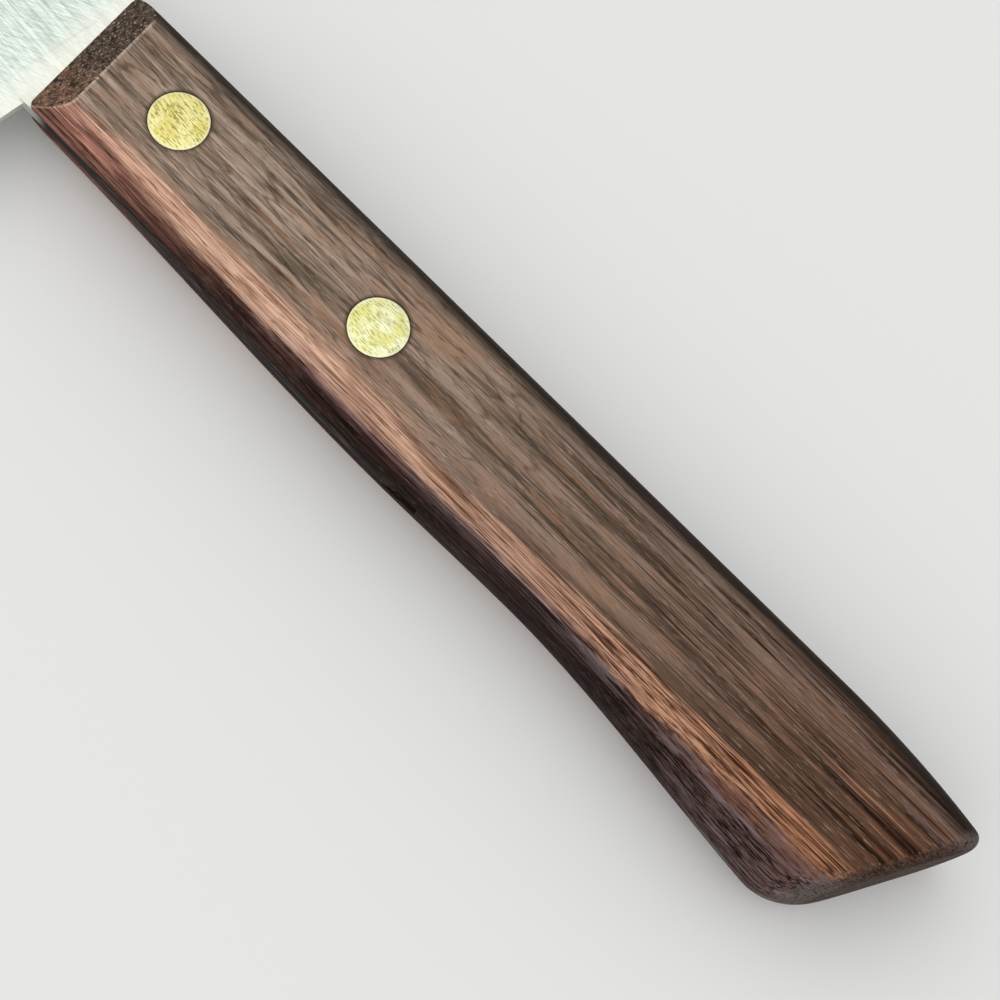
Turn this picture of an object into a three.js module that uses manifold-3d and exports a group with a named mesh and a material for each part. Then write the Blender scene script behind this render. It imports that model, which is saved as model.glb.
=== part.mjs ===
// Butcher knife with a scalloped edge. The taper-ground steel blade runs back into a half tang,
// which sits in the sawn kerf of a one-piece rosewood handle. Two brass compression rivets, each a
// socket and a pin pressed together, pass through the tang and are ground flush with the wood.
// Millimetres. The knife lies on its right side: +Z points out of the left side, +X runs from the
// tip to the butt and +Y from the cutting edge to the spine.
import * as THREE from 'three';
import { mergeVertices } from 'three/addons/utils/BufferGeometryUtils.js';
import Module from 'manifold-3d';

// Handle side view, measured from the rivet line (y = 0) and the front end (x = 0)
const HANDLE_LENGTH = 130.9;
const FRONT_SLANT = 5;
const BUTT_SLANT = 28.5;
const SPINE_HEIGHT = 9.3;
const BUTT_DROP = 1.3;
const BUTT_DROP_LENGTH = 18.5;
const BELLY_FRONT_DEPTH = 9;
const BELLY_SWELL_DEPTH = 10.8;
const BELLY_SWELL_AT = 58;
const BELLY_WAIST_DEPTH = 10.5;
const BELLY_WAIST_AT = 79;
const BELLY_BUTT_DEPTH = 14.5;

// Handle section: flat sides that grow apart towards the butt, with elliptical belly and spine
const THICKNESS_FRONT = 13.4;
const THICKNESS_BUTT = 17;
const BELLY_ROUND_FRONT = 2.7;
const BELLY_ROUND_BUTT = 5.6;
const SPINE_ROUND_FRONT = 2.6;
const SPINE_ROUND_BUTT = 3.4;

// Handle ends
const FRONT_BEVEL_LENGTH = 4.8;
const FRONT_LAND = 0.5;
const BELLY_CORNER_RADIUS = 4.4;
const SPINE_CORNER_RADIUS = 1.9;
const BUTT_EDGE_RADIUS = 1.8;

// Blade side view
const BLADE_LENGTH = 203;
const HEEL_HEIGHT = 34.5;
const BELLY_HEIGHT = 38.5;
const HEEL_SLANT = 6;
const HEEL_GAP = 0.8;
const EDGE_SWEEP_START = 118;
const EDGE_SWEEP_PULL = 60;
const SPINE_CLIP_START = 140;
const SPINE_CLIP_PULL = 34;
const TIP_DROP = 7.5;
const TIP_WIDTH = 0.8;

// Blade section and scallops
const STOCK = 1.8;
const TIP_STOCK = 1;
const EDGE_STOCK = 0.5;
const EDGE_LAND = 0.08;
const EDGE_BEVEL_HEIGHT = 1.3;
const SCALLOP_PITCH = 5.5;
const SCALLOP_DEPTH = 1.1;
const SCALLOP_ANGLE = 14;
const SCALLOP_HEEL_MARGIN = 7;
const SCALLOP_TIP_MARGIN = 16;

// Tang and kerf
const TANG_LENGTH = 64;
const TANG_CORNER_RADIUS = 5;
const RICASSO = 1.4;
const KERF_CLEARANCE = 0.12;
const KERF_END_GAP = 0.4;

// Rivets: the front one is set back from the front end, the rear one from the end of the tang
const RIVET_FRONT_SETBACK = 15.1;
const RIVET_FRONT_RISE = 0.3;
const RIVET_REAR_SETBACK = 16.5;
const RIVET_REAR_FALL = 0.7;
const RIVET_HEAD_DIAMETER = 7.14;
const RIVET_HEAD_DEPTH = 1.7;
const RIVET_SOCKET_DIAMETER = 4.6;
const RIVET_PIN_DIAMETER = 3;
const RIVET_HEAD_CLEARANCE = 0.06;
const RIVET_SEAT_CLEARANCE = 0.05;
const RIVET_SHANK_CLEARANCE = 0.12;
const RIVET_PIN_CLEARANCE = 0.05;
const RIVET_END_GAP = 0.5;

// Fineness of the facets
const BODY_STEPS = 20;
const CORNER_STEPS = 6;
const ROUND_STEPS = 16;
const BLADE_STEPS = 56;
const SCALLOP_STEPS = 8;
const RIVET_SIDES = 40;

// How far cutters and blanks reach past what they cut, and how close two points count as one
const MARGIN = 3;
const CUT_WIDTH = 120;
const WELD = 1e-5;
const SETTLE_PASSES = 6;

const { degToRad, lerp, smoothstep } = THREE.MathUtils;
const wasm = await Module();
wasm.setup();

// Closed meshes and solids
function toSolid(geometry) {
  const bare = geometry.clone();
  bare.deleteAttribute('normal');
  bare.deleteAttribute('uv');
  const merged = mergeVertices(bare, WELD);
  return new wasm.Manifold(new wasm.Mesh({
    numProp: 3,
    vertProperties: new Float32Array(merged.attributes.position.array),
    triVerts: new Uint32Array(merged.index.array),
  }));
}

function toMesh(name, solid, material) {
  const { vertProperties, triVerts } = solid.getMesh();
  const geometry = new THREE.BufferGeometry();
  geometry.setAttribute('position', new THREE.BufferAttribute(new Float32Array(vertProperties), 3));
  geometry.setIndex(new THREE.BufferAttribute(new Uint32Array(triVerts), 1));
  const mesh = new THREE.Mesh(geometry, material);
  mesh.name = name;
  return mesh;
}

// Skins a row of rings that all have the same number of points and closes both ends.
// Seen from beyond the last ring, each ring runs counter-clockwise.
function loft(rings) {
  const size = rings[0].length;
  const points = rings.flat();
  const index = [];
  for (let ring = 0; ring + 1 < rings.length; ring += 1) {
    for (let i = 0; i < size; i += 1) {
      const next = (i + 1) % size;
      const a = ring * size + i;
      const b = ring * size + next;
      index.push(a, b, b + size, a, b + size, a + size);
    }
  }
  const middle = (ring) => ring.reduce((sum, p) => sum.add(p), new THREE.Vector3()).divideScalar(size);
  const first = points.push(middle(rings[0])) - 1;
  const last = points.push(middle(rings.at(-1))) - 1;
  const lastRing = (rings.length - 1) * size;
  for (let i = 0; i < size; i += 1) {
    const next = (i + 1) % size;
    index.push(first, next, i, last, lastRing + i, lastRing + next);
  }
  const geometry = new THREE.BufferGeometry().setFromPoints(points);
  geometry.setIndex(index);
  return toSolid(geometry);
}

function revolve(profile, place) {
  const outline = profile.map(([radius, height]) => new THREE.Vector2(radius, height));
  const geometry = new THREE.LatheGeometry(outline, RIVET_SIDES);
  geometry.rotateX(Math.PI / 2);
  geometry.translate(place.x, place.y, 0);
  return toSolid(geometry);
}

// Handle form
function bellyDepth(x) {
  const swell = smoothstep(x, 0, BELLY_SWELL_AT);
  const waist = smoothstep(x, BELLY_SWELL_AT, BELLY_WAIST_AT);
  const flare = smoothstep(x, BELLY_WAIST_AT, HANDLE_LENGTH);
  return BELLY_FRONT_DEPTH
    + swell * (BELLY_SWELL_DEPTH - BELLY_FRONT_DEPTH)
    + waist * (BELLY_WAIST_DEPTH - BELLY_SWELL_DEPTH)
    + flare * (BELLY_BUTT_DEPTH - BELLY_WAIST_DEPTH);
}

function spineHeight(x) {
  const share = Math.max(x - HANDLE_LENGTH + BUTT_DROP_LENGTH, 0) / BUTT_DROP_LENGTH;
  return SPINE_HEIGHT - BUTT_DROP * share * share;
}

function halfThickness(x) {
  return lerp(THICKNESS_FRONT, THICKNESS_BUTT, x / HANDLE_LENGTH) / 2;
}

// How far an edge of the given radius has drawn in at a distance from the end face
function drawnIn(radius, distance) {
  const left = Math.max(radius - distance, 0);
  return radius - Math.sqrt(radius * radius - left * left);
}

// One ring of the handle, on a plane that crosses the rivet line at x = along and leans by slope
function handleRing(along, slope, endDistance) {
  const xAt = (y) => along + slope * y;
  let belly = -BELLY_FRONT_DEPTH;
  let spine = SPINE_HEIGHT;
  for (let pass = 0; pass < SETTLE_PASSES; pass += 1) {
    belly = -bellyDepth(xAt(belly));
    spine = spineHeight(xAt(spine));
  }
  belly += drawnIn(BELLY_CORNER_RADIUS, endDistance);
  spine -= drawnIn(SPINE_CORNER_RADIUS, endDistance);
  const thin = drawnIn(BUTT_EDGE_RADIUS, endDistance);
  const bellyRound = lerp(BELLY_ROUND_FRONT, BELLY_ROUND_BUTT, along / HANDLE_LENGTH);
  const spineRound = lerp(SPINE_ROUND_FRONT, SPINE_ROUND_BUTT, along / HANDLE_LENGTH);
  const ring = [];
  for (const [edge, round] of [[spine, spineRound], [belly, -bellyRound]]) {
    for (let step = 0; step <= ROUND_STEPS; step += 1) {
      const turn = Math.PI * step / ROUND_STEPS;
      const up = round > 0 ? -Math.cos(turn) : Math.cos(turn);
      const y = edge - round * (1 - Math.sin(turn));
      ring.push(new THREE.Vector3(xAt(y), y, up * (halfThickness(xAt(y)) - thin)));
    }
  }
  return ring;
}

// The handle before any cut, reaching past its front end by the margin
function handleBody() {
  const frontSlope = -Math.tan(degToRad(FRONT_SLANT));
  const buttSlope = Math.tan(degToRad(BUTT_SLANT));
  const cornerLength = BELLY_CORNER_RADIUS / Math.cos(degToRad(BUTT_SLANT));
  const cornerStart = HANDLE_LENGTH - cornerLength;
  const rings = [handleRing(-MARGIN, frontSlope, BELLY_CORNER_RADIUS)];
  for (let step = 0; step <= BODY_STEPS; step += 1) {
    const share = step / BODY_STEPS;
    rings.push(handleRing(cornerStart * share, lerp(frontSlope, buttSlope, share), BELLY_CORNER_RADIUS));
  }
  for (let step = 1; step <= CORNER_STEPS; step += 1) {
    const turn = Math.PI / 2 * step / CORNER_STEPS;
    const endDistance = BELLY_CORNER_RADIUS * (1 - Math.sin(turn));
    rings.push(handleRing(cornerStart + cornerLength * Math.sin(turn), buttSlope, endDistance));
  }
  return loft(rings);
}

// Everything ahead of the handle's front end
function frontTrim() {
  const box = new THREE.BoxGeometry(2 * MARGIN, CUT_WIDTH, CUT_WIDTH);
  box.translate(-MARGIN, 0, 0);
  box.rotateZ(degToRad(FRONT_SLANT));
  return toSolid(box);
}

// The wedge that leaves the bevel between one side of the handle and the blade
function bevelCutter(side) {
  const low = STOCK / 2 + FRONT_LAND;
  const rise = (halfThickness(FRONT_BEVEL_LENGTH) - low) / FRONT_BEVEL_LENGTH;
  const front = -MARGIN;
  const back = FRONT_BEVEL_LENGTH + MARGIN;
  const wedge = new THREE.Shape();
  wedge.moveTo(front, low + rise * front);
  wedge.lineTo(back, low + rise * back);
  wedge.lineTo(front, low + rise * back);
  const geometry = new THREE.ExtrudeGeometry(wedge, { depth: CUT_WIDTH, bevelEnabled: false });
  geometry.translate(0, 0, -CUT_WIDTH / 2);
  geometry.rotateX(side * Math.PI / 2);
  geometry.rotateZ(degToRad(FRONT_SLANT));
  return toSolid(geometry);
}

function kerfCutter() {
  const length = TANG_LENGTH + KERF_END_GAP + 2 * MARGIN;
  const box = new THREE.BoxGeometry(length, CUT_WIDTH, STOCK + 2 * KERF_CLEARANCE);
  box.translate(TANG_LENGTH + KERF_END_GAP - length / 2, 0, 0);
  return toSolid(box);
}

// Rivets
function rivetSeat(place) {
  return halfThickness(place.x) - RIVET_HEAD_DEPTH;
}

// The stepped hole for one rivet: a counterbore from each side and a clear hole between them
function rivetDrill(place) {
  const head = RIVET_HEAD_DIAMETER / 2 + RIVET_HEAD_CLEARANCE;
  const shank = RIVET_SOCKET_DIAMETER / 2 + RIVET_SHANK_CLEARANCE;
  const floor = rivetSeat(place) - RIVET_SEAT_CLEARANCE;
  const reach = THICKNESS_BUTT;
  return revolve([
    [0, -reach], [head, -reach], [head, -floor], [shank, -floor],
    [shank, floor], [head, floor], [head, reach], [0, reach],
  ], place);
}

function rivetSocket(place) {
  const head = RIVET_HEAD_DIAMETER / 2;
  const tube = RIVET_SOCKET_DIAMETER / 2;
  const bore = RIVET_PIN_DIAMETER / 2 + RIVET_PIN_CLEARANCE;
  const seat = rivetSeat(place);
  const mouth = RIVET_END_GAP - seat;
  return revolve([
    [0, seat], [bore, seat], [bore, mouth], [tube, mouth],
    [tube, seat], [head, seat], [head, THICKNESS_BUTT], [0, THICKNESS_BUTT],
  ], place);
}

function rivetPin(place) {
  const head = RIVET_HEAD_DIAMETER / 2;
  const pin = RIVET_PIN_DIAMETER / 2;
  const seat = rivetSeat(place);
  return revolve([
    [0, -THICKNESS_BUTT], [head, -THICKNESS_BUTT], [head, -seat],
    [pin, -seat], [pin, seat - RIVET_END_GAP], [0, seat - RIVET_END_GAP],
  ], place);
}

// Blade. The heel line passes just ahead of the lower corner of the handle's front end.
function heelX(y) {
  const corner = Math.tan(degToRad(FRONT_SLANT)) * BELLY_FRONT_DEPTH;
  return corner - HEEL_GAP + Math.tan(degToRad(HEEL_SLANT)) * (y + BELLY_FRONT_DEPTH);
}

function edgePath() {
  const heelY = SPINE_HEIGHT - HEEL_HEIGHT;
  const lowY = SPINE_HEIGHT - BELLY_HEIGHT;
  const path = new THREE.Path();
  path.moveTo(heelX(heelY), heelY);
  path.quadraticCurveTo(-EDGE_SWEEP_START / 2, lowY, -EDGE_SWEEP_START, lowY);
  path.quadraticCurveTo(
    -EDGE_SWEEP_START - EDGE_SWEEP_PULL, lowY,
    -BLADE_LENGTH, SPINE_HEIGHT - TIP_DROP - TIP_WIDTH,
  );
  return path;
}

function spinePath() {
  const path = new THREE.Path();
  path.moveTo(heelX(SPINE_HEIGHT), SPINE_HEIGHT);
  path.lineTo(-SPINE_CLIP_START, SPINE_HEIGHT);
  path.quadraticCurveTo(
    -SPINE_CLIP_START - SPINE_CLIP_PULL, SPINE_HEIGHT,
    -BLADE_LENGTH, SPINE_HEIGHT - TIP_DROP,
  );
  return path;
}

// One section of the blade: thick at the spine, thin at the edge, bevelled on the left side only
function bladeRing(spine, edge, spineStock) {
  const height = spine.distanceTo(edge);
  const bevel = Math.min(EDGE_BEVEL_HEIGHT, height / 2) / height;
  const shoulder = edge.clone().lerp(spine, bevel);
  const shoulderStock = lerp(EDGE_STOCK, spineStock, bevel);
  return [
    new THREE.Vector3(spine.x, spine.y, spineStock / 2),
    new THREE.Vector3(spine.x, spine.y, -spineStock / 2),
    new THREE.Vector3(edge.x, edge.y, -EDGE_STOCK / 2),
    new THREE.Vector3(edge.x, edge.y, EDGE_LAND - EDGE_STOCK / 2),
    new THREE.Vector3(shoulder.x, shoulder.y, shoulderStock / 2),
  ];
}

function bladeBlank() {
  const spine = spinePath().getSpacedPoints(BLADE_STEPS);
  const edge = edgePath().getSpacedPoints(BLADE_STEPS);
  const rings = spine.map((point, i) => (
    bladeRing(point, edge[i], lerp(STOCK, TIP_STOCK, i / BLADE_STEPS))
  ));
  return loft(rings);
}

// The grinding wheel's path for one scallop, as a round-bottomed bar that leans into the left side.
// Its lowest line meets the right side one scallop depth above the edge.
function scallopCutter(path, share) {
  const lean = degToRad(SCALLOP_ANGLE);
  const sag = SCALLOP_DEPTH * Math.sin(lean);
  const half = SCALLOP_PITCH / 2;
  const radius = (half * half + sag * sag) / (2 * sag);
  const spread = Math.asin(half / radius);
  const outline = new THREE.Shape();
  outline.absarc(0, radius, radius, -Math.PI / 2 - spread, -Math.PI / 2 + spread, false);
  outline.lineTo(half, MARGIN);
  outline.lineTo(-half, MARGIN);
  const length = 4 * MARGIN;
  const bar = new THREE.ExtrudeGeometry(outline, {
    depth: length, bevelEnabled: false, curveSegments: SCALLOP_STEPS,
  });
  const at = path.getPointAt(share);
  const tangent = path.getTangentAt(share);
  const along = new THREE.Vector3(tangent.x, tangent.y, 0);
  const inward = new THREE.Vector3(tangent.y, -tangent.x, 0);
  const out = new THREE.Vector3(0, 0, Math.cos(lean)).addScaledVector(inward, -Math.sin(lean));
  const up = new THREE.Vector3(0, 0, Math.sin(lean)).addScaledVector(inward, Math.cos(lean));
  const start = new THREE.Vector3(at.x, at.y, -EDGE_STOCK / 2);
  start.addScaledVector(inward, SCALLOP_DEPTH).addScaledVector(up, -length / 2);
  bar.applyMatrix4(new THREE.Matrix4().makeBasis(along, out, up).setPosition(start));
  return toSolid(bar);
}

function scallopCutters() {
  const path = edgePath();
  const length = path.getLength();
  const room = length - SCALLOP_HEEL_MARGIN - SCALLOP_TIP_MARGIN;
  const count = Math.floor(room / SCALLOP_PITCH);
  return Array.from({ length: count }, (_, i) => (
    scallopCutter(path, (SCALLOP_HEEL_MARGIN + (i + 0.5) * SCALLOP_PITCH) / length)
  ));
}

// The flat tang, wider than the handle, to be trimmed flush with it
function tangBlank() {
  const top = SPINE_HEIGHT + MARGIN;
  const bottom = -bellyDepth(TANG_LENGTH) - MARGIN;
  const lean = Math.tan(degToRad(FRONT_SLANT));
  const rear = TANG_LENGTH - TANG_CORNER_RADIUS;
  const spine = SPINE_HEIGHT - TANG_CORNER_RADIUS;
  const belly = TANG_CORNER_RADIUS - bellyDepth(TANG_LENGTH);
  const outline = new THREE.Shape();
  outline.moveTo(-RICASSO - lean * top, top);
  outline.lineTo(-RICASSO - lean * bottom, bottom);
  outline.lineTo(rear, bottom);
  outline.lineTo(rear, belly - TANG_CORNER_RADIUS);
  outline.absarc(rear, belly, TANG_CORNER_RADIUS, -Math.PI / 2, 0, false);
  outline.absarc(rear, spine, TANG_CORNER_RADIUS, 0, Math.PI / 2, false);
  outline.lineTo(rear, top);
  const geometry = new THREE.ExtrudeGeometry(outline, {
    depth: STOCK, bevelEnabled: false, curveSegments: SCALLOP_STEPS,
  });
  geometry.translate(0, 0, -STOCK / 2);
  return toSolid(geometry);
}

// Materials
const steel = new THREE.MeshStandardMaterial({ color: 0xc9d0c8, roughness: 0.42, metalness: 1 });
const rosewood = new THREE.MeshStandardMaterial({ color: 0x5a3a28, roughness: 0.48, metalness: 0 });
const brass = new THREE.MeshStandardMaterial({ color: 0xd9c770, roughness: 0.38, metalness: 1 });

// Assembly
const body = handleBody();
const rivets = {
  front: new THREE.Vector2(RIVET_FRONT_SETBACK, RIVET_FRONT_RISE),
  rear: new THREE.Vector2(TANG_LENGTH - RIVET_REAR_SETBACK, -RIVET_REAR_FALL),
};
const drills = Object.values(rivets).map(rivetDrill);

const cutters = [frontTrim(), bevelCutter(1), bevelCutter(-1), kerfCutter(), ...drills];
const handle = cutters.reduce((solid, cutter) => solid.subtract(cutter), body);

const ground = scallopCutters().reduce((solid, cutter) => solid.subtract(cutter), bladeBlank());
const tang = tangBlank().intersect(body);
const blade = drills.reduce((solid, drill) => solid.subtract(drill), ground.add(tang));

const knife = new THREE.Group();
knife.add(toMesh('blade', blade, steel));
knife.add(toMesh('handle', handle, rosewood));
for (const [name, place] of Object.entries(rivets)) {
  knife.add(toMesh(`${name}_rivet_socket`, rivetSocket(place).intersect(body), brass));
  knife.add(toMesh(`${name}_rivet_pin`, rivetPin(place).intersect(body), brass));
}

// Origin under the middle of the knife, level with the lowest point of the handle
const box = new THREE.Box3().setFromObject(knife);
const centre = box.getCenter(new THREE.Vector3());
knife.position.set(-centre.x, -centre.y, -box.min.z);

export default knife;
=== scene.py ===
import math

import bmesh
import bpy
import numpy as np
from mathutils import Matrix, Vector


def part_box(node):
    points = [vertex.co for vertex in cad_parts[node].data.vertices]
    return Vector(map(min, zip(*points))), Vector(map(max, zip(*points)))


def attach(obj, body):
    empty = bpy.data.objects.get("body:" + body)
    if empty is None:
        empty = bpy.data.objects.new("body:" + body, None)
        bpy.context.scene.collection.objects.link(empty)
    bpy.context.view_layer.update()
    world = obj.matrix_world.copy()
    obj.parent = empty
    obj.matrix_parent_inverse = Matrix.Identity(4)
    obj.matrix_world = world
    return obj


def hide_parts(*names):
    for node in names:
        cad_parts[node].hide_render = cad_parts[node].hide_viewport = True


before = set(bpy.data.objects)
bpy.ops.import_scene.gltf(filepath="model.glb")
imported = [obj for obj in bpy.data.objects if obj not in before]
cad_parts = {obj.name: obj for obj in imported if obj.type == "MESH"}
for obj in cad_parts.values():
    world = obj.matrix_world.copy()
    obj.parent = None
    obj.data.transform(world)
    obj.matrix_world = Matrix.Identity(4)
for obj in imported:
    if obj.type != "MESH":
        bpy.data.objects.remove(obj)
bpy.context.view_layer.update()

# Handle sizes in millimetres, from the rivet line (y = 0) and the front end (x = 0)
MM = 0.001
HANDLE_LENGTH = 130.9
FRONT_SLANT = math.radians(5)
BUTT_SLANT = math.radians(28.5)
SPINE_HEIGHT = 9.3
BUTT_DROP = 1.3
BUTT_DROP_LENGTH = 18.5
BELLY_FRONT_DEPTH = 9
BELLY_SWELL_DEPTH = 10.8
BELLY_SWELL_AT = 58
BELLY_WAIST_DEPTH = 10.5
BELLY_WAIST_AT = 79
BELLY_BUTT_DEPTH = 14.5
THICKNESS_FRONT = 13.4
THICKNESS_BUTT = 17
BELLY_ROUND_FRONT = 2.7
BELLY_ROUND_BUTT = 5.6
SPINE_ROUND_FRONT = 2.6
SPINE_ROUND_BUTT = 3.4
BELLY_CORNER_RADIUS = 4.4
SPINE_CORNER_RADIUS = 1.9
BUTT_EDGE_RADIUS = 1.8
FRONT_BEVEL_LENGTH = 4.8
FRONT_LAND = 0.5
FRONT_CORNER_RADIUS = 0.7
FRONT_ZONE = 8
CREASE_SOFTNESS = 0.3
STOCK = 1.8
KERF_CLEARANCE = 0.1
KERF_LENGTH = 64.4
RIVET_CLEARANCE = 0.05
RIVET_RIM = 0.14
FRONT_RIVET_SETBACK = 15.1
FRONT_RIVET_RISE = 0.3
SOCKETS = ("front_rivet_socket", "rear_rivet_socket")
PINS = ("front_rivet_pin", "rear_rivet_pin")

# Fineness of the meshes and their sharp edges; the weld and the shortest edge are in metres
FRONT_STEP = 0.15
BODY_RINGS = 150
CORNER_RINGS = 20
ARC_STEPS = 40
FLAT_STEPS = 14
HOLE_SEGMENTS = 96
RIM_SEGMENTS = 3
SETTLE_PASSES = 6
WELD = 1e-7
SHORTEST_EDGE = 1e-6
LEVEL = math.radians(1)
HANDLE_CREASE = math.radians(35)
BLADE_CREASE = math.radians(20)
RIVET_CREASE = math.radians(40)
RIM_CREASE = math.radians(60)
RIM_REACH = 0.97
RIM_DEPTH = 0.3
RIM_PROFILE = 0.5
WEIGHT_BY_AREA = 100

# Camera, in millimetres: where it aims on the handle, how far off it stands and how it leans
AIM = Vector((70.6, -5.25, 7.9))
CAMERA_DISTANCE = 282.2
CAMERA_ROLL = math.radians(46.15)
LEAN_TO_BELLY = math.radians(18)
LEAN_TO_BUTT = math.radians(5)
LENS = 93.6
SENSOR = 36
CLIP_START = 10

# Wood: the pale stripe's top and foot, as millimetres past the side's lower edge at shares of the length
STRIPE_TOP = ((0.05, 0.3), (0.35, -0.6), (0.6, 1.1), (0.92, -1))
STRIPE_FOOT = ((0.06, 1.5), (0.22, 2.6), (0.7, 3.7), (1, 0.6))
GROWTH_RINGS = 11

# Shine that the wood and the tang, tarnished and in painted shade, keep
DULL_SHINE = 0.03

# Painted shade round the rivets, a painted highlight on their rims, and on the blade a painted reflection
# and tarnish with painted shade, in millimetres
RIVET_SHADE_WIDTH = 0.5
RIM_HIGHLIGHT_WIDTH = 0.5
REFLECTION_BAND_START = 5
REFLECTION_BAND_END = 0.8
TARNISH_AND_SHADE_REACH = 4

# Light and floor, lengths in metres; the dome brightens between two heights, 0 level and 1 overhead
HORIZON_STRENGTH = 0.45
ZENITH_STRENGTH = 0.79
HORIZON_TOP = 0.15
ZENITH_FOOT = 0.65
DOME_COLOUR = (1, 1, 1, 1)
LAMP_POWER = 5.7
LAMP_SIZE = 2
LAMP_PLACE = (-0.15, -0.2, 0.85)
FLOOR_SIZE = 3
FLOOR_COLOUR = (0.8, 0.8, 0.79, 1)
FLOOR_ROUGHNESS = 0.9


def box_middle(node):
    low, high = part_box(node)
    return (Vector(low) + Vector(high)) / 2


def head_radius(rivet):
    low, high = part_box(rivet)
    return (high[0] - low[0]) / 2


def handle_origin():
    """The front end of the handle on the rivet line and the blade's mid-plane, in the row frame."""
    rivet = box_middle(SOCKETS[0])
    place = Vector((rivet.x, rivet.y, box_middle("blade").z))
    return place - Vector((FRONT_RIVET_SETBACK, FRONT_RIVET_RISE, 0)) * MM


ORIGIN = handle_origin()


# Handle form, in millimetres, for single numbers and for arrays
def smoothstep(x, low, high):
    t = np.clip((x - low) / (high - low), 0, 1)
    return t * t * (3 - 2 * t)


def belly_depth(x):
    swell = smoothstep(x, 0, BELLY_SWELL_AT)
    waist = smoothstep(x, BELLY_SWELL_AT, BELLY_WAIST_AT)
    flare = smoothstep(x, BELLY_WAIST_AT, HANDLE_LENGTH)
    return (BELLY_FRONT_DEPTH
            + swell * (BELLY_SWELL_DEPTH - BELLY_FRONT_DEPTH)
            + waist * (BELLY_WAIST_DEPTH - BELLY_SWELL_DEPTH)
            + flare * (BELLY_BUTT_DEPTH - BELLY_WAIST_DEPTH))


def spine_height(x):
    share = np.clip(x - HANDLE_LENGTH + BUTT_DROP_LENGTH, 0, None) / BUTT_DROP_LENGTH
    return SPINE_HEIGHT - BUTT_DROP * share * share


def along_handle(front, butt, x):
    return front + (butt - front) * x / HANDLE_LENGTH


def half_thickness(x):
    return along_handle(THICKNESS_FRONT, THICKNESS_BUTT, x) / 2


def drawn_in(radius, distance):
    """How far an edge of the given radius has drawn in at a distance from the end."""
    left = np.clip(radius - distance, 0, radius)
    return radius - np.sqrt(radius * radius - left * left)


def corner_start():
    return HANDLE_LENGTH - BELLY_CORNER_RADIUS / math.cos(BUTT_SLANT)


def ring_slope(along):
    """How far a ring leans per millimetre of height: as the front end, then towards the butt's lean."""
    share = np.clip((along - FRONT_ZONE) / (corner_start() - FRONT_ZONE), 0, 1)
    return -math.tan(FRONT_SLANT) + share * (math.tan(BUTT_SLANT) + math.tan(FRONT_SLANT))


def side_lines(along):
    """Heights of the belly and the spine on the ring that crosses the rivet line at along."""
    slope = ring_slope(along)
    belly = -belly_depth(along)
    spine = spine_height(along)
    for _ in range(SETTLE_PASSES):
        belly = -belly_depth(along + slope * belly)
        spine = spine_height(along + slope * spine)
    return belly, spine


def rounds(along):
    """Heights of the rounded belly and spine below and above the flat sides."""
    belly = along_handle(BELLY_ROUND_FRONT, BELLY_ROUND_BUTT, along)
    spine = along_handle(SPINE_ROUND_FRONT, SPINE_ROUND_BUTT, along)
    return belly, spine


def bevel_height(along):
    low = STOCK / 2 + FRONT_LAND
    rise = (half_thickness(FRONT_BEVEL_LENGTH) - low) / FRONT_BEVEL_LENGTH
    return low + rise * along * math.cos(FRONT_SLANT)


def soft_min(a, b, softness):
    share = np.clip(0.5 + 0.5 * (b - a) / softness, 0, 1)
    return b + (a - b) * share - softness * share * (1 - share)


def handle_ring(along):
    end = (HANDLE_LENGTH - along) * math.cos(BUTT_SLANT)
    front = drawn_in(FRONT_CORNER_RADIUS, along)
    belly, spine = side_lines(along)
    belly = belly + drawn_in(BELLY_CORNER_RADIUS, end) + front
    spine = spine - drawn_in(SPINE_CORNER_RADIUS, end) - front
    belly_round, spine_round = rounds(along)
    turn = np.linspace(0, math.pi, ARC_STEPS + 1)
    flat = np.linspace(spine - spine_round, belly + belly_round, FLAT_STEPS + 1)[1:-1]
    side = np.ones(len(flat))
    y = np.concatenate([spine - spine_round * (1 - np.sin(turn)), flat,
                        belly + belly_round * (1 - np.sin(turn)), flat[::-1]])
    up = np.concatenate([-np.cos(turn), side, np.cos(turn), -side])
    x = along + ring_slope(along) * y
    depth = np.abs(up) * (half_thickness(x) - drawn_in(BUTT_EDGE_RADIUS, end))
    depth = np.clip(soft_min(depth, bevel_height(along), CREASE_SOFTNESS), 0, None)
    return np.stack([x, y, np.sign(up) * depth], axis=1)


def handle_stations():
    front = np.arange(0, FRONT_ZONE, FRONT_STEP)
    body = np.linspace(FRONT_ZONE, corner_start(), BODY_RINGS)
    turn = np.linspace(0, math.pi / 2, CORNER_RINGS)[1:]
    corner = corner_start() + (HANDLE_LENGTH - corner_start()) * np.sin(turn)
    return np.concatenate([front, body, corner])


# Meshes
def new_object(name, mesh):
    obj = bpy.data.objects.new(name, mesh)
    bpy.context.collection.objects.link(obj)
    return obj


def skin(name, rings, node):
    """A closed mesh over a row of rings that have the same number of points, kept inside the node's box."""
    size = len(rings[0])
    low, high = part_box(node)
    points = np.clip(np.concatenate(rings) * MM + np.array(ORIGIN), low, high)
    faces = []
    for ring in range(len(rings) - 1):
        for i in range(size):
            a = ring * size + i
            b = ring * size + (i + 1) % size
            faces.append((a, b, b + size, a + size))
    last = (len(rings) - 1) * size
    faces.append(tuple(reversed(range(size))))
    faces.append(tuple(range(last, last + size)))
    mesh = bpy.data.meshes.new(name)
    mesh.from_pydata(points.tolist(), [], faces)
    work = bmesh.new()
    work.from_mesh(mesh)
    bmesh.ops.remove_doubles(work, verts=work.verts, dist=WELD)
    bmesh.ops.recalc_face_normals(work, faces=work.faces)
    work.to_mesh(mesh)
    work.free()
    return mesh


def cutter(name, build):
    mesh = bpy.data.meshes.new(name)
    work = bmesh.new()
    build(work)
    work.to_mesh(mesh)
    work.free()
    return new_object(name, mesh)


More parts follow.
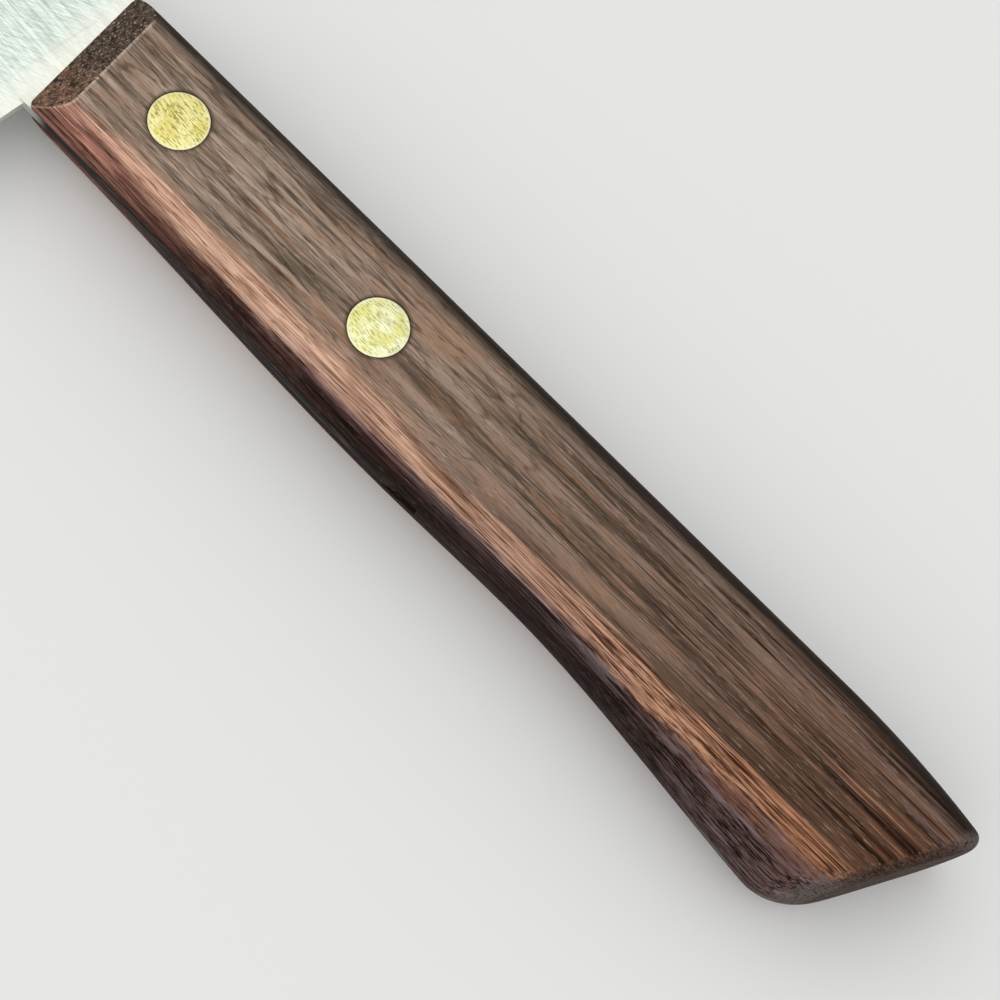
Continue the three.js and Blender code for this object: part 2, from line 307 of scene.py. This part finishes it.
def kerf_cutter():
    length = KERF_LENGTH + FRONT_ZONE
    width = 2 * (BELLY_BUTT_DEPTH + SPINE_HEIGHT)
    size = Vector((length, width, STOCK + 2 * KERF_CLEARANCE)) * MM
    middle = ORIGIN + Vector((KERF_LENGTH - length / 2, 0, 0)) * MM
    matrix = Matrix.Translation(middle) @ Matrix.Diagonal(size).to_4x4()
    return cutter("kerf", lambda work: bmesh.ops.create_cube(work, size=1, matrix=matrix))


def rivet_cutter(node):
    radius = head_radius(node) + RIVET_CLEARANCE * MM
    depth = 2 * THICKNESS_BUTT * MM
    matrix = Matrix.Translation(box_middle(node))
    return cutter(node + "_hole", lambda work: bmesh.ops.create_cone(
        work, cap_ends=True, segments=HOLE_SEGMENTS, radius1=radius, radius2=radius, depth=depth,
        matrix=matrix))


def cut(obj, tools):
    """Cuts the tools out of the object, takes its shortest edges away and deletes the tools."""
    for tool in tools:
        modifier = obj.modifiers.new(tool.name, "BOOLEAN")
        modifier.operation = "DIFFERENCE"
        modifier.solver = "EXACT"
        modifier.object = tool
    evaluated = obj.evaluated_get(bpy.context.evaluated_depsgraph_get())
    mesh = bpy.data.meshes.new_from_object(evaluated)
    work = bmesh.new()
    work.from_mesh(mesh)
    bmesh.ops.dissolve_degenerate(work, dist=SHORTEST_EDGE, edges=work.edges)
    work.to_mesh(mesh)
    work.free()
    obj.modifiers.clear()
    obj.data = mesh
    for tool in tools:
        bpy.data.objects.remove(tool)


def shade(mesh, angle):
    """Smooth shading that stays sharp at edges steeper than angle."""
    mesh.shade_smooth()
    mesh.set_sharp_from_angle(angle=angle)


def mark_handle(mesh):
    """Writes where each point lies on the handle, in millimetres: along it, from the flat side's edges round
    to the belly and to the spine, below the plane of the front bevel, and from the butt."""
    flat = np.empty(len(mesh.vertices) * 3)
    mesh.vertices.foreach_get("co", flat)
    x, y, z = ((flat.reshape(-1, 3) - np.array(ORIGIN)) / MM).T
    along = x.copy()
    for _ in range(SETTLE_PASSES):
        along = x - ring_slope(along) * y
    belly, spine = side_lines(along)
    belly_round, spine_round = rounds(along)
    below = belly + belly_round - y
    above = y - spine + spine_round
    drop = half_thickness(x) - np.abs(z)
    marks = {
        "along": x,
        "belly": np.where(below > 0, np.hypot(below, drop), below),
        "spine": np.where(above > 0, np.hypot(above, drop), above),
        "bevel": bevel_height(along) - np.abs(z),
        "butt": (HANDLE_LENGTH - along) * math.cos(BUTT_SLANT),
    }
    for name, values in marks.items():
        mesh.attributes.new(name, "FLOAT", "POINT").data.foreach_set("value", values.astype(np.float32))


def dress(obj, node, material):
    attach(obj, "root")
    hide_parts(node)
    obj.data.materials.clear()
    obj.data.materials.append(material)


def build_handle(material):
    rings = [handle_ring(at) for at in handle_stations()]
    obj = new_object("handle_wood", skin("handle_wood", rings, "handle"))
    cut(obj, [kerf_cutter()] + [rivet_cutter(node) for node in SOCKETS])
    mark_handle(obj.data)
    shade(obj.data, HANDLE_CREASE)
    dress(obj, "handle", material)


def node_mesh(node):
    """The node's own form, welded so that its facets shade as one surface."""
    work = bmesh.new()
    work.from_mesh(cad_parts[node].data)
    bmesh.ops.remove_doubles(work, verts=work.verts, dist=WELD)
    return work


def build_blade(material):
    """The blade's own facets, shaded by area so that thin ones don't show."""
    mesh = bpy.data.meshes.new("blade_steel")
    work = node_mesh("blade")
    work.to_mesh(mesh)
    work.free()
    shade(mesh, BLADE_CREASE)
    obj = new_object("blade_steel", mesh)
    modifier = obj.modifiers.new("flats", "WEIGHTED_NORMAL")
    modifier.keep_sharp = True
    modifier.weight = WEIGHT_BY_AREA
    dress(obj, "blade", material)


def ease_rim(work, node):
    """Eases the rim of the rivet's head where it meets the side of the handle."""
    low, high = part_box(node)
    middle = box_middle(node)
    side = 1 if middle.z > ORIGIN.z else -1
    face = high[2] if side > 0 else low[2]
    radius = head_radius(node)
    bmesh.ops.dissolve_limit(work, angle_limit=LEVEL, verts=work.verts, edges=work.edges)

    def on_rim(vert):
        reach = math.hypot(vert.co.x - middle.x, vert.co.y - middle.y)
        return reach > RIM_REACH * radius and abs(vert.co.z - face) < RIM_DEPTH * MM
    rim = [edge for edge in work.edges if all(on_rim(vert) for vert in edge.verts)
           and edge.calc_face_angle(0) > RIM_CREASE]
    bmesh.ops.bevel(work, geom=rim, offset=RIVET_RIM * MM, segments=RIM_SEGMENTS, affect="EDGES",
                    profile=RIM_PROFILE)


def build_rivet(node, material):
    name = node.replace("rivet", "brass")
    mesh = bpy.data.meshes.new(name)
    work = node_mesh(node)
    ease_rim(work, node)
    work.to_mesh(mesh)
    work.free()
    shade(mesh, RIVET_CREASE)
    dress(new_object(name, mesh), node, material)


# Materials
class Shader:
    """A material, with short names for adding and joining its nodes."""

    def __init__(self, name):
        self.material = bpy.data.materials.new(name)
        self.material.use_nodes = True
        self.tree = self.material.node_tree
        self.surface = self.tree.nodes["Principled BSDF"]

    def node(self, kind, **settings):
        node = self.tree.nodes.new("ShaderNode" + kind)
        for key, value in settings.items():
            setattr(node, key, value)
        return node

    def put(self, socket, value):
        if isinstance(value, bpy.types.NodeSocket):
            self.tree.links.new(value, socket)
        else:
            socket.default_value = value

    def set(self, **inputs):
        for name, value in inputs.items():
            self.put(self.surface.inputs[name.replace("_", " ")], value)

    def mark(self, name):
        return self.node("Attribute", attribute_name=name).outputs["Fac"]

    def spot(self):
        return self.node("TexCoord").outputs["Object"]

    def spot_x(self):
        node = self.node("SeparateXYZ")
        self.put(node.inputs[0], self.spot())
        return node.outputs["X"]

    def noise(self, length, detail=3, roughness=0.55, distortion=0, shift=0, turn=0):
        """Noise whose blotches are about length millimetres along x, y and z, turned about z."""
        turned = self.node("Mapping")
        self.put(turned.inputs["Vector"], self.spot())
        turned.inputs["Rotation"].default_value = (0, 0, turn)
        scaled = self.node("Mapping")
        self.put(scaled.inputs["Vector"], turned.outputs["Vector"])
        scaled.inputs["Scale"].default_value = [1 / (MM * size) for size in length]
        scaled.inputs["Location"].default_value = (shift, shift, shift)
        node = self.node("TexNoise")
        self.put(node.inputs["Vector"], scaled.outputs["Vector"])
        node.inputs["Scale"].default_value = 1
        node.inputs["Detail"].default_value = detail
        node.inputs["Roughness"].default_value = roughness
        node.inputs["Distortion"].default_value = distortion
        return node.outputs["Fac"]

    def math(self, operation, a, b=0):
        node = self.node("Math", operation=operation)
        self.put(node.inputs[0], a)
        self.put(node.inputs[1], b)
        return node.outputs[0]

    def product(self, first, *others):
        for other in others:
            first = self.math("MULTIPLY", first, other)
        return first

    def ramp(self, value, low, high, start=0, end=1):
        """Value mapped smoothly from low..high to start..end."""
        node = self.node("MapRange", interpolation_type="SMOOTHSTEP")
        for name, number in zip(("Value", "From Min", "From Max", "To Min", "To Max"),
                                (value, low, high, start, end)):
            self.put(node.inputs[name], number)
        return node.outputs[0]

    def weave(self, *layers):
        """The sum of layers of noise about a half, each with its own weight."""
        total = 0.5
        for noise, weight in layers:
            swing = self.math("MULTIPLY", self.math("SUBTRACT", noise, 0.5), weight)
            total = self.math("ADD", swing, total)
        return total

    def gradient(self, value, *stops):
        """A run of colours, each given with its place between 0 and 1."""
        node = self.node("ValToRGB")
        self.put(node.inputs["Fac"], value)
        ramp = node.color_ramp
        while len(ramp.elements) < len(stops):
            ramp.elements.new(1)
        for element, (place, colour) in zip(ramp.elements, stops):
            element.position = place
            element.color = colour
        return node.outputs["Color"]

    def profile(self, value, *stops):
        """A number that runs smoothly through the given places and values."""
        low = min(number for _, number in stops)
        high = max(number for _, number in stops)
        shares = [(place, (number - low) / (high - low)) for place, number in stops]
        grey = self.gradient(value, *[(place, (tone, tone, tone, 1)) for place, tone in shares])
        grey.node.color_ramp.interpolation = "EASE"
        return self.math("ADD", self.math("MULTIPLY", grey, high - low), low)

    def near(self, centre, start, end):
        """One within a distance of an upright axis through centre, falling to zero at another distance."""
        level = self.node("VectorMath", operation="MULTIPLY")
        self.put(level.inputs[0], self.spot())
        level.inputs[1].default_value = (1, 1, 0)
        distance = self.node("VectorMath", operation="DISTANCE")
        self.put(distance.inputs[0], level.outputs[0])
        distance.inputs[1].default_value = (centre.x, centre.y, 0)
        return self.ramp(distance.outputs["Value"], start, end, 1, 0)

    def lerp(self, share, a, b):
        node = self.node("Mix")
        self.put(node.inputs[0], share)
        self.put(node.inputs[2], a)
        self.put(node.inputs[3], b)
        return node.outputs[0]

    def blend(self, share, a, b):
        node = self.node("Mix", data_type="RGBA")
        self.put(node.inputs[0], share)
        self.put(node.inputs[6], a)
        self.put(node.inputs[7], b)
        return node.outputs[2]

    def bump(self, height, strength, depth):
        node = self.node("Bump")
        self.put(node.inputs["Height"], height)
        node.inputs["Strength"].default_value = strength
        node.inputs["Distance"].default_value = depth * MM
        return node.outputs["Normal"]


def srgb(red, green, blue):
    """A colour given as it looks on screen, 0 to 255."""
    def linear(value):
        share = value / 255
        return share / 12.92 if share <= 0.04045 else ((share + 0.055) / 1.055) ** 2.4
    return (linear(red), linear(green), linear(blue), 1)


def flat_wood(s, share, grain, rings, lines):
    """The handle's sides: grey-brown with wavy rings at the front, where the grey is partly a painted sheen,
    darker and finely lined at the butt.
    """
    # Painted sheen in part: the front's tones are greyed as by a reflected sky; towards the butt they turn
    # darker and browner.
    light = s.gradient(share, (0.1, srgb(184, 162, 144)), (1, srgb(92, 60, 45)))
    dark = s.gradient(share, (0.1, srgb(98, 84, 71)), (1, srgb(36, 18, 10)))
    colour = s.blend(s.ramp(grain, 0, 1), dark, light)
    patches = s.noise((16, 2.4, 2.4), distortion=0.8, shift=3)
    front = s.ramp(share, 0.85, 0.35)
    warm = s.math("MULTIPLY", s.ramp(patches, 0.5, 0.66), s.lerp(front, 0.2, 0.5))
    colour = s.blend(warm, colour, srgb(160, 122, 95))
    colour = s.blend(s.product(rings, front, 0.65), colour, srgb(70, 56, 47))
    rear = s.ramp(share, 0.4, 0.85)
    bright = s.math("MULTIPLY", s.ramp(lines, 0.6, 0.7), rear)
    colour = s.blend(s.math("MULTIPLY", bright, 0.7), colour, srgb(178, 128, 94))
    deep = s.math("MULTIPLY", s.ramp(lines, 0.44, 0.34), rear)
    return s.blend(s.math("MULTIPLY", deep, 0.75), colour, srgb(30, 15, 9))


def worn_and_lit_stripe(s, share, edge_grain):
    """The pale reddish wood along the worn lower edges of the sides, partly a painted highlight where the
    rounded edge turns to the light.
    """
    light = s.gradient(share, (0, srgb(218, 162, 139)), (0.2, srgb(238, 197, 171)), (1, srgb(172, 114, 76)))
    dark = s.gradient(share, (0, srgb(120, 74, 59)), (0.2, srgb(160, 118, 96)), (0.6, srgb(80, 50, 37)),
                      (1, srgb(50, 24, 12)))
    return s.blend(s.ramp(edge_grain, 0, 1), dark, light)


def belly_wood_and_shade(s, share, grain, streaks, past_foot):
    """The dark belly, its darkness partly painted shade: reddish at the front, then nearly black with slate
    streaks of painted sheen, rusty by the stripe.
    """
    # The belly's dark tones are partly painted shade.
    light = s.gradient(share, (0.05, srgb(224, 160, 138)), (0.2, srgb(104, 68, 58)), (0.7, srgb(68, 48, 45)),
                       (1, srgb(126, 98, 92)))
    dark = s.gradient(share, (0.05, srgb(76, 46, 39)), (0.3, srgb(16, 7, 6)))
    colour = s.blend(s.ramp(grain, 0.1, 1), dark, light)
    rust = s.product(s.ramp(past_foot, 2.2, 0.4), s.ramp(share, 0.7, 0.9), s.ramp(grain, 0.2, 0.8, 0.3, 0.9))
    colour = s.blend(rust, colour, srgb(124, 84, 66))
    # Painted sheen: slate-grey streaks on the dark belly.
    slate = s.product(s.ramp(streaks, 0.54, 0.68), s.ramp(share, 0.3, 1, 0.12, 0.75),
                      s.ramp(rust, 0.1, 0.5, 1, 0.2))
    return s.blend(slate, colour, srgb(132, 116, 118))


def shaded_spine(s, rear):
    """How much the rounded spine is shaded."""
    spine = s.mark("spine")
    return s.product(s.ramp(spine, s.lerp(rear, -1.8, -1.2), 1.2, 0, 0.94), s.ramp(spine, 2, 5, 1, 0.6))


def end_grain(s, colour, blots, fibres):
    """The colour with speckled end grain on the front bevel and a painted highlight as a pale line along its
    crease.
    """
    bevel = s.mark("bevel")
    specks = s.noise((0.36, 0.36, 0.36), detail=1, shift=5)
    light = s.gradient(s.ramp(s.mark("belly"), -12, 1), (0.5, srgb(96, 80, 68)), (1, srgb(146, 108, 89)))
    grain = s.blend(s.ramp(blots, 0.3, 0.7), srgb(48, 37, 30), light)
    grain = s.blend(s.ramp(specks, 0.56, 0.74, 0, 0.85), grain, srgb(176, 156, 138))
    grain = s.blend(s.ramp(specks, 0.4, 0.28, 0, 0.8), grain, srgb(30, 21, 17))
    colour = s.blend(s.ramp(bevel, 0.25, 0.12), colour, grain)
    # Painted highlight: a pale line on the side along the bevel's crease.
    crease_highlight = s.product(s.ramp(bevel, 0.12, 0.25), s.ramp(bevel, 0.6, 0.35, 0, 0.6),
                       s.ramp(s.mark("spine"), 0.5, -0.5), s.ramp(fibres, 0.35, 0.55))
    return s.blend(crease_highlight, colour, srgb(204, 186, 170))


def butt_rim(s, colour, blots, rings):
    """The colour with a dark rim round the butt and a painted grey highlight at its corners."""
    butt = s.mark("butt")
    specks = s.noise((0.5, 0.22, 0.22), detail=2, shift=15)
    mixed = s.weave((blots, 0.6), (specks, 1.4))
    rim = s.blend(s.ramp(mixed, 0.2, 0.8), srgb(42, 30, 25), srgb(88, 70, 61))
    rim = s.blend(s.math("MULTIPLY", rings, 0.4), rim, srgb(36, 27, 24))
    colour = s.blend(s.ramp(butt, 1.5, 0.7), colour, rim)
    # Painted highlight: pale grey on the rim's corners by the belly and the spine.
    corners = s.math("MAXIMUM", s.ramp(s.mark("belly"), -3, 3), s.ramp(s.mark("spine"), -3, 1))
    corner_highlight = s.product(corners, s.ramp(butt, 0, 0.4), s.ramp(butt, 2.4, 1), s.ramp(specks, 0.3, 0.6))
    return s.blend(s.math("MULTIPLY", corner_highlight, 0.5), colour, srgb(124, 114, 112))


def rivet_shade_ring(s, colour):
    """The colour with a dark ring of painted shade round each rivet."""
    for node in SOCKETS:
        radius = head_radius(node)
        # Painted shade: the wood darkened in a ring round the rivet's head.
        dirt_and_shade = s.near(box_middle(node), radius, radius + RIVET_SHADE_WIDTH * MM)
        colour = s.blend(s.math("MULTIPLY", dirt_and_shade, 0.7), colour, srgb(60, 56, 34))
    return colour


def rosewood():
    s = Shader("rosewood")
    share = s.math("DIVIDE", s.mark("along"), HANDLE_LENGTH)
    rear = s.ramp(share, 0.35, 0.75)
    bands = s.noise((80, 2.4, 2.4), distortion=0.3)
    figure = s.noise((17, 1.2, 1.2), detail=4, roughness=0.6, distortion=1.2, shift=13)
    blotches = s.noise((8, 0.6, 0.6), detail=3, distortion=0.8, shift=51)
    lines = s.noise((30, 0.28, 0.28), detail=4, roughness=0.65, distortion=0.4, shift=40)
    streaks = s.noise((22, 0.5, 0.5), detail=4, roughness=0.65)
    fibres = s.noise((7, 0.14, 0.14), detail=2)
    slate = s.noise((34, 0.5, 0.5), detail=4, roughness=0.6, shift=60)
    pores = s.noise((2.4, 0.15, 0.15), detail=1, shift=7)
    flecks = s.noise((2.1, 0.14, 0.14), detail=1, shift=21)
    growth = s.weave((s.noise((60, 5, 5), detail=2, distortion=0.5, shift=31), 1), (figure, 0.08))
    rings = s.ramp(s.math("PINGPONG", s.math("MULTIPLY", growth, GROWTH_RINGS), 0.5), 0.13, 0)
    pattern = s.lerp(rear, figure, lines)
    texture = s.lerp(rear, blotches, streaks)
    grain = s.weave((bands, s.lerp(rear, 2.2, 3)), (pattern, s.lerp(rear, 1.9, 2.8)),
                    (texture, s.lerp(rear, 1.2, 1.8)), (fibres, s.lerp(rear, 0.4, 0.8)))
    edge_grain = s.weave((streaks, 2), (fibres, 1.6), (pattern, s.lerp(rear, 1.6, 3.4)))

    colour = flat_wood(s, share, grain, rings, lines)
    wander = s.weave((s.noise((9, 2.5, 2.5), shift=11), 2), (streaks, 2.4))
    edge = s.math("ADD", s.mark("belly"), s.math("SUBTRACT", wander, 0.5))
    past_top = s.math("SUBTRACT", edge, s.profile(share, *STRIPE_TOP))
    past_foot = s.math("SUBTRACT", edge, s.profile(share, *STRIPE_FOOT))
    fringe = s.product(s.ramp(past_top, -2.4, -0.8), s.ramp(share, 0.42, 0.6), 0.55)
    colour = s.blend(fringe, colour, srgb(62, 42, 32))
    # Pale stripe along the side's lower edge: worn wood and a painted highlight on the rounding.
    colour = s.blend(s.ramp(past_top, -0.6, 0.5), colour, worn_and_lit_stripe(s, share, edge_grain))
    belly = belly_wood_and_shade(s, share, edge_grain, s.weave((slate, 1.1), (bands, 1.1)), past_foot)
    colour = s.blend(s.ramp(past_foot, -0.3, 0.4), colour, belly)
    # Painted shade: the belly's underside darkened, fading out near the butt.
    underside_shade = s.math("MULTIPLY", s.ramp(s.mark("belly"), 3.6, 6.4), s.ramp(share, 0.65, 0.95, 0.6, 0.05))
    colour = s.blend(underside_shade, colour, srgb(18, 11, 10))
    sheen = s.product(s.ramp(past_foot, -1.3, -0.2), s.ramp(past_foot, 1.1, 0.1), s.ramp(slate, 0.42, 0.6),
                      s.ramp(fibres, 0.36, 0.62), s.ramp(share, 0.2, 0.35, 0.15, 0.85),
                      s.ramp(share, 0.6, 0.8, 1, 0.15))
    colour = s.blend(sheen, colour, srgb(176, 146, 143))
    # Painted sheen: grey streaks beside the spine towards the butt.
    spine_sheen = s.product(s.ramp(s.mark("spine"), -5, -1), s.ramp(streaks, 0.44, 0.62), rear)
    colour = s.blend(s.math("MULTIPLY", spine_sheen, 0.45), colour, srgb(132, 118, 111))
    shaded = shaded_spine(s, rear)
    colour = s.blend(shaded, colour, srgb(30, 24, 20))

    spread = s.lerp(rear, 0.7, 0.45)
    light_flecks = s.product(s.ramp(flecks, 0.63, 0.73, 0, 0.6), s.ramp(past_foot, 0, 1, 1, 0.4), spread,
                             s.ramp(shaded, 0, 0.9, 1, 0.2))
    colour = s.blend(light_flecks, colour, srgb(200, 178, 160))
    open_pores = s.ramp(pores, 0.61, 0.7)
    colour = s.blend(s.product(open_pores, spread, 0.8), colour, srgb(32, 20, 16))

    blots = s.noise((1.2, 0.7, 0.7), shift=9)
    colour = end_grain(s, colour, blots, fibres)
    colour = butt_rim(s, colour, blots, rings)
    colour = rivet_shade_ring(s, colour)

    height = s.weave((fibres, 0.7), (streaks, 0.6), (open_pores, -1))
    s.set(Base_Color=colour, Roughness=s.ramp(fibres, 0.3, 0.7, 0.68, 0.5), Specular_IOR_Level=DULL_SHINE,
          Normal=s.bump(height, 0.4, 0.06))
    return s.material


def brass():
    s = Shader("brass")
    centres = [box_middle(node) for node in PINS]
    rear = s.ramp(s.spot_x(), centres[0].x, centres[1].x)
    scratches = s.noise((1.2, 0.1, 0.1), roughness=0.7)
    specks = s.noise((0.8, 0.17, 0.17), detail=2, shift=5, turn=math.radians(5))
    clouds = s.noise((2.6, 2.6, 2.6), detail=2)
    pale = s.blend(rear, srgb(240, 234, 166), srgb(242, 245, 202))
    rich = s.blend(rear, srgb(228, 217, 130), srgb(229, 228, 152))
    colour = s.blend(s.ramp(clouds, 0.38, 0.62), rich, pale)
    colour = s.blend(s.ramp(scratches, 0.3, 0.55, 0.5, 0), colour, srgb(178, 166, 94))
    dirt_and_shade = s.math("MULTIPLY", s.ramp(specks, 0.5, 0.64), s.lerp(rear, 0.85, 0.6))
    colour = s.blend(dirt_and_shade, colour, srgb(150, 136, 62))
    radius = head_radius(PINS[0])
    # Painted highlight: a pale rim round each head.
    insides = [s.near(centre, radius - RIM_HIGHLIGHT_WIDTH * MM, radius) for centre in centres]
    rim = s.math("SUBTRACT", 1, s.math("MAXIMUM", *insides))
    colour = s.blend(s.math("MULTIPLY", rim, 0.7), colour, srgb(244, 238, 208))
    s.set(Base_Color=colour, Metallic=1, Roughness=s.ramp(scratches, 0.3, 0.7, 0.52, 0.36),
          Normal=s.bump(s.weave((scratches, 1), (specks, -1)), 0.3, 0.03))
    return s.material


def steel():
    s = Shader("steel")
    scratches = s.noise((26, 0.35, 0.35), detail=5, roughness=0.7, turn=math.radians(4))
    crossing = s.noise((2.2, 0.18, 0.18), detail=3, roughness=0.7, turn=math.radians(-24), shift=17)
    mottle = s.noise((1.6, 0.9, 0.9), detail=4, roughness=0.7)
    wear = s.weave((mottle, 0.5), (scratches, 1.3), (crossing, 1.2))
    colour = s.blend(s.ramp(wear, 0.1, 0.9), srgb(180, 192, 184), srgb(232, 244, 235))
    x = s.spot_x()
    # Painted reflection: a warm pale band on the blade beside the handle, as of the wood.
    pale = s.ramp(x, ORIGIN.x - REFLECTION_BAND_START * MM, ORIGIN.x - REFLECTION_BAND_END * MM, 0, 0.75)
    colour = s.blend(pale, colour, srgb(236, 235, 223))
    # Tarnish and painted shade: the tang inside the handle dark and dull.
    inside = s.ramp(x, ORIGIN.x, ORIGIN.x + TARNISH_AND_SHADE_REACH * MM)
    streaks = s.noise((5, 0.3, 0.3))
    tarnish_and_shade = s.blend(s.ramp(streaks, 0.48, 0.74), srgb(24, 18, 17), srgb(92, 80, 75))
    colour = s.blend(inside, colour, tarnish_and_shade)
    s.set(Base_Color=colour, Metallic=s.math("SUBTRACT", 1, inside), Specular_IOR_Level=DULL_SHINE,
          Roughness=s.ramp(wear, 0.2, 0.8, 0.5, 0.36),
          Normal=s.bump(s.weave((scratches, 1), (crossing, 0.7)), 0.15, 0.02))
    return s.material


def floor_paint():
    s = Shader("floor")
    s.set(Base_Color=FLOOR_COLOUR, Roughness=FLOOR_ROUGHNESS)
    return s.material


# Stage
def build_floor():
    half = FLOOR_SIZE / 2
    corners = [(-half, -half, 0), (half, -half, 0), (half, half, 0), (-half, half, 0)]
    mesh = bpy.data.meshes.new("floor")
    mesh.from_pydata(corners, [], [(0, 1, 2, 3)])
    mesh.materials.append(floor_paint())
    new_object("floor", mesh)


def build_dome():
    world = bpy.data.worlds.new("studio")
    world.use_nodes = True
    tree = world.node_tree
    background = tree.nodes["Background"]
    background.inputs["Color"].default_value = DOME_COLOUR
    direction = tree.nodes.new("ShaderNodeSeparateXYZ")
    tree.links.new(tree.nodes.new("ShaderNodeTexCoord").outputs["Generated"], direction.inputs[0])
    dome = tree.nodes.new("ShaderNodeMapRange")
    dome.interpolation_type = "SMOOTHSTEP"
    tree.links.new(direction.outputs["Z"], dome.inputs["Value"])
    for name, number in (("From Min", HORIZON_TOP), ("From Max", ZENITH_FOOT),
                         ("To Min", HORIZON_STRENGTH), ("To Max", ZENITH_STRENGTH)):
        dome.inputs[name].default_value = number
    tree.links.new(dome.outputs[0], background.inputs["Strength"])
    bpy.context.scene.world = world


def build_lamp():
    lamp = bpy.data.lights.new("softbox", "AREA")
    lamp.energy = LAMP_POWER
    lamp.size = LAMP_SIZE
    obj = new_object("softbox", lamp)
    obj.location = LAMP_PLACE
    obj.rotation_euler = (-obj.location).to_track_quat("-Z", "Y").to_euler()


def build_camera():
    """The camera's axes are the knife's own, turned in the picture by the roll and tipped by the leans."""
    turn = (Matrix.Rotation(-CAMERA_ROLL, 3, "Z")
            @ Matrix.Rotation(-LEAN_TO_BELLY, 3, "X")
            @ Matrix.Rotation(-LEAN_TO_BUTT, 3, "Y"))
    axes = turn.transposed()
    data = bpy.data.cameras.new("camera")
    data.lens = LENS
    data.sensor_width = SENSOR
    data.clip_start = CLIP_START * MM
    obj = new_object("camera", data)
    place = ORIGIN + (AIM + axes.col[2] * CAMERA_DISTANCE) * MM
    obj.matrix_world = Matrix.Translation(place) @ axes.to_4x4()
    bpy.context.scene.camera = obj


bpy.context.scene.view_settings.view_transform = "Standard"
build_handle(rosewood())
build_blade(steel())
brass_finish = brass()
for socket, pin in zip(SOCKETS, PINS):
    build_rivet(socket, brass_finish)
    build_rivet(pin, brass_finish)
build_floor()
build_dome()
build_lamp()
build_camera()
